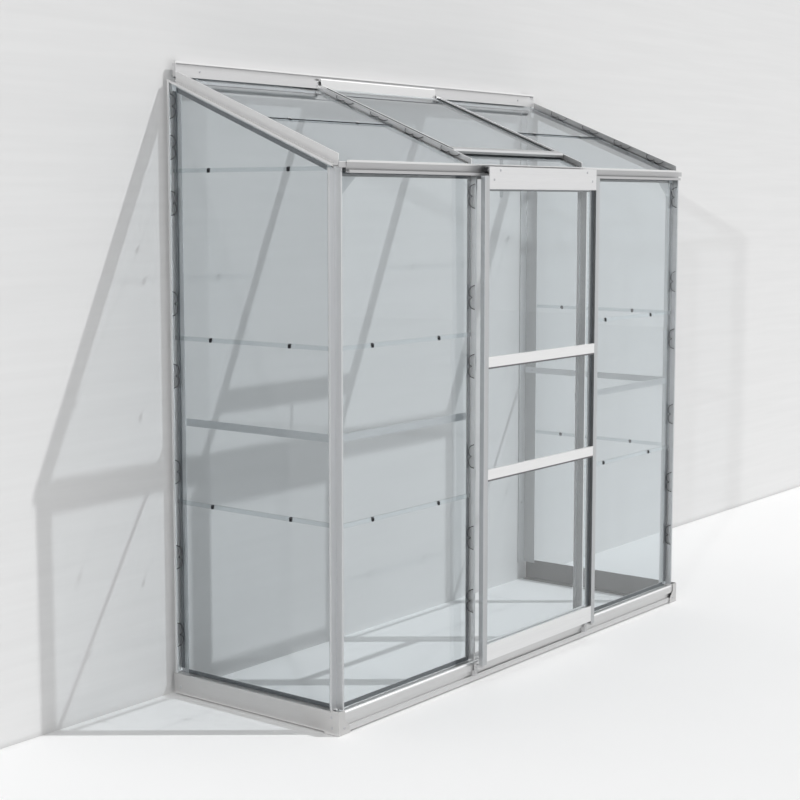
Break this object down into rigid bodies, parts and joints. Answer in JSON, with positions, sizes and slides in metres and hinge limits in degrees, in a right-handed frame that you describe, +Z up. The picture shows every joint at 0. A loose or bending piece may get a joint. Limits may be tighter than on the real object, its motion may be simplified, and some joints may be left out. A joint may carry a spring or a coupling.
{
  "type": "lean-to greenhouse",
  "caption": "Low lean-to greenhouse of aluminium sections and clear glass with a top-hung sliding door, a roof vent and a stay, made to stand against a wall.",
  "frame": {"origin": "middle of the whole's footprint, at floor level", "axes": "+X along the wall to the right as seen from the front, +Y towards the wall, +Z up"},
  "size_m": [1.93, 0.688, 1.858],
  "materials": {
    "frame_aluminium": "mill finish with fine lines along each section",
    "sill_aluminium": "mill finish, slightly duller than the frame",
    "door_aluminium": "mill finish, brighter than the frame",
    "plate_aluminium": "pressed sheet",
    "stay_aluminium": "flat strip",
    "clear_glass": "clear horticultural glass with a faint green edge",
    "glazing_rubber": "matt black strip",
    "wire_steel": "drawn stainless wire",
    "clip_steel": "bent stainless strip",
    "screw_steel": "plated screws",
    "black_nylon": "moulded black nylon",
    "roller_nylon": "turned dark nylon"
  },
  "bodies": {
    "frame": {"corner_plate_left": "plate_aluminium", "corner_plate_right": "plate_aluminium", "corner_post_left": "frame_aluminium", "corner_post_right": "frame_aluminium", "eave_end_cap_left": "plate_aluminium", "eave_end_cap_right": "plate_aluminium", "eave_rail": "frame_aluminium", "frame_screws": "screw_steel", "front_bar_left": "frame_aluminium", "front_bar_right": "frame_aluminium", "front_brace_left": "frame_aluminium", "front_brace_right": "frame_aluminium", "front_glass_left": "clear_glass", "front_glass_right": "clear_glass", "front_sill": "sill_aluminium", "glazing_clips": "wire_steel", "glazing_rubber_front": "glazing_rubber", "glazing_rubber_roof": "glazing_rubber", "glazing_rubber_sides": "glazing_rubber", "gusset_left": "frame_aluminium", "gusset_right": "frame_aluminium", "lap_clips": "clip_steel", "ridge_rail": "frame_aluminium", "roof_bar_left": "frame_aluminium", "roof_bar_right": "frame_aluminium", "roof_end_bar_left": "frame_aluminium", "roof_end_bar_right": "frame_aluminium", "roof_glass_left": "clear_glass", "roof_glass_right": "clear_glass", "roof_glass_vent_bay": "clear_glass", "side_brace_left": "frame_aluminium", "side_brace_right": "frame_aluminium", "side_glass_left": "clear_glass", "side_glass_right": "clear_glass", "side_sill_left": "sill_aluminium", "side_sill_right": "sill_aluminium", "vent_sill": "frame_aluminium", "wall_upright_left": "frame_aluminium", "wall_upright_right": "frame_aluminium"},
    "door": {"door_bottom_rail": "door_aluminium", "door_glass_lower": "clear_glass", "door_glass_middle": "clear_glass", "door_glass_upper": "clear_glass", "door_guides": "black_nylon", "door_header": "door_aluminium", "door_header_screws": "screw_steel", "door_rail_lower": "door_aluminium", "door_rail_upper": "door_aluminium", "door_rubber": "glazing_rubber", "door_stile_left": "door_aluminium", "door_stile_right": "door_aluminium"},
    "roller_left": {"door_roller_left": "roller_nylon"},
    "roller_right": {"door_roller_right": "roller_nylon"},
    "vent": {"vent_hinge_bar": "frame_aluminium", "vent_side_left": "frame_aluminium", "vent_side_right": "frame_aluminium", "vent_bottom_rail": "frame_aluminium", "vent_glass": "clear_glass", "vent_seals": "glazing_rubber"},
    "stay": {"vent_stay": "stay_aluminium"}
  },
  "joints": [
    {"name": "door_slide", "type": "slide", "parent": "frame", "child": "door", "axis": [1, 0, 0], "range_m": [-0.58, 0.58]},
    {"name": "roller_left_spin", "type": "hinge", "parent": "door", "child": "roller_left", "pos_m": [-0.28, -0.317, 1.5491], "axis": [0, 1, 0], "continuous": true},
    {"name": "roller_right_spin", "type": "hinge", "parent": "door", "child": "roller_right", "pos_m": [0.28, -0.317, 1.5491], "axis": [0, 1, 0], "continuous": true},
    {"name": "vent_hinge", "type": "hinge", "parent": "frame", "child": "vent", "pos_m": [0, 0.3145, 1.84054], "axis": [-1, 0, 0], "range_deg": [0, 45]},
    {"name": "stay_hinge", "type": "hinge", "parent": "frame", "child": "stay", "pos_m": [0, -0.17617, 1.595], "axis": [1, 0, 0], "range_deg": [0, 95]}
  ],
  "couplings": [
    {"joint": "roller_left_spin", "follows": "door_slide", "rad_per_m": 125},
    {"joint": "roller_right_spin", "follows": "door_slide", "rad_per_m": 125}
  ]
}
